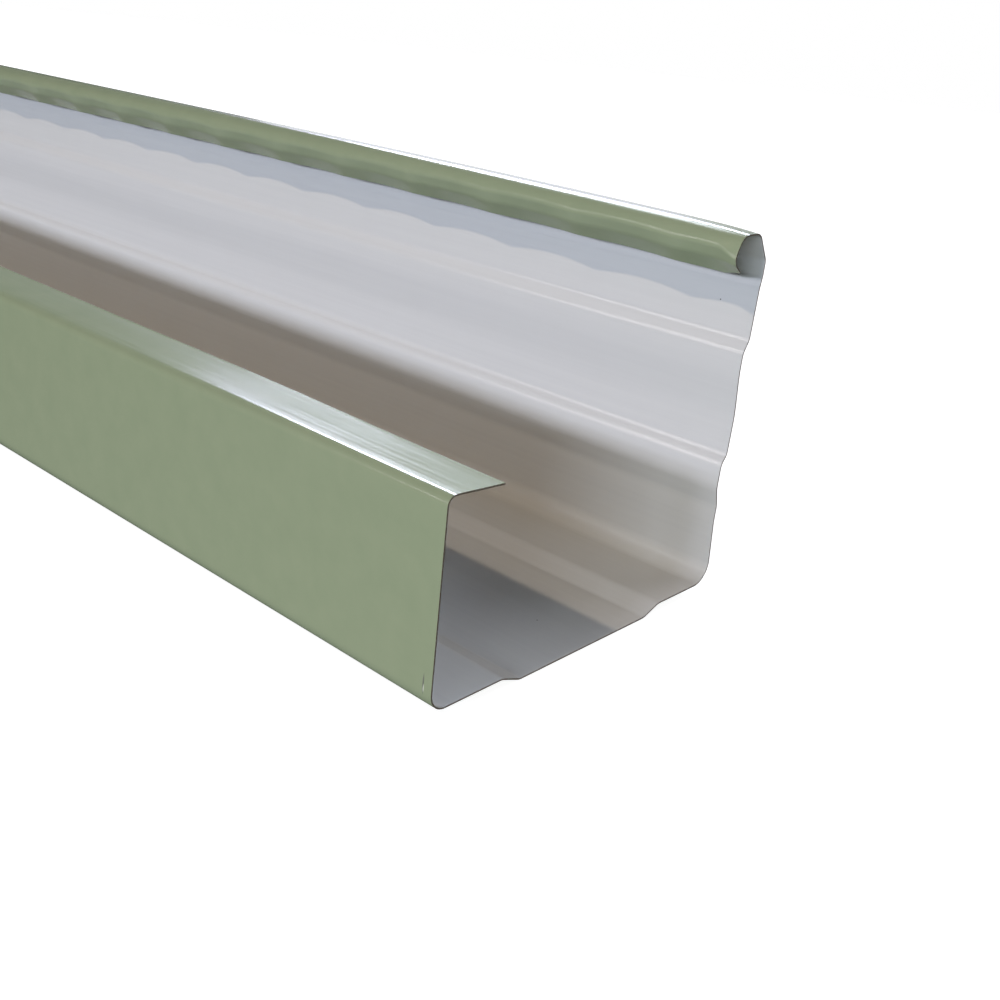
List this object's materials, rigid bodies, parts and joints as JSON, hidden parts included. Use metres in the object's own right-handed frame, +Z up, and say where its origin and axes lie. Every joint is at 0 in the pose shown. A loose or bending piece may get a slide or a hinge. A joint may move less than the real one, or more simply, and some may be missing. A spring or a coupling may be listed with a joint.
{
  "type": "gutter section",
  "caption": "Straight length of square roll-formed rain gutter with a grooved, beaded high front, a dropped base panel and a plain lower back wall with an inward lip.",
  "frame": {"origin": "on the floor plane under the middle base panel, midway along the length and midway across the overall width", "axes": "+X along the gutter's length, +Y from the beaded front wall to the plain back wall, +Z up with the base on the floor"},
  "size_m": [2.4, 0.125, 0.1158],
  "materials": {
    "painted_sheet": "satin sage green outside, pale grey backing coat inside"
  },
  "bodies": {
    "root": {"gutter_section": "painted_sheet"}
  },
  "joints": []
}
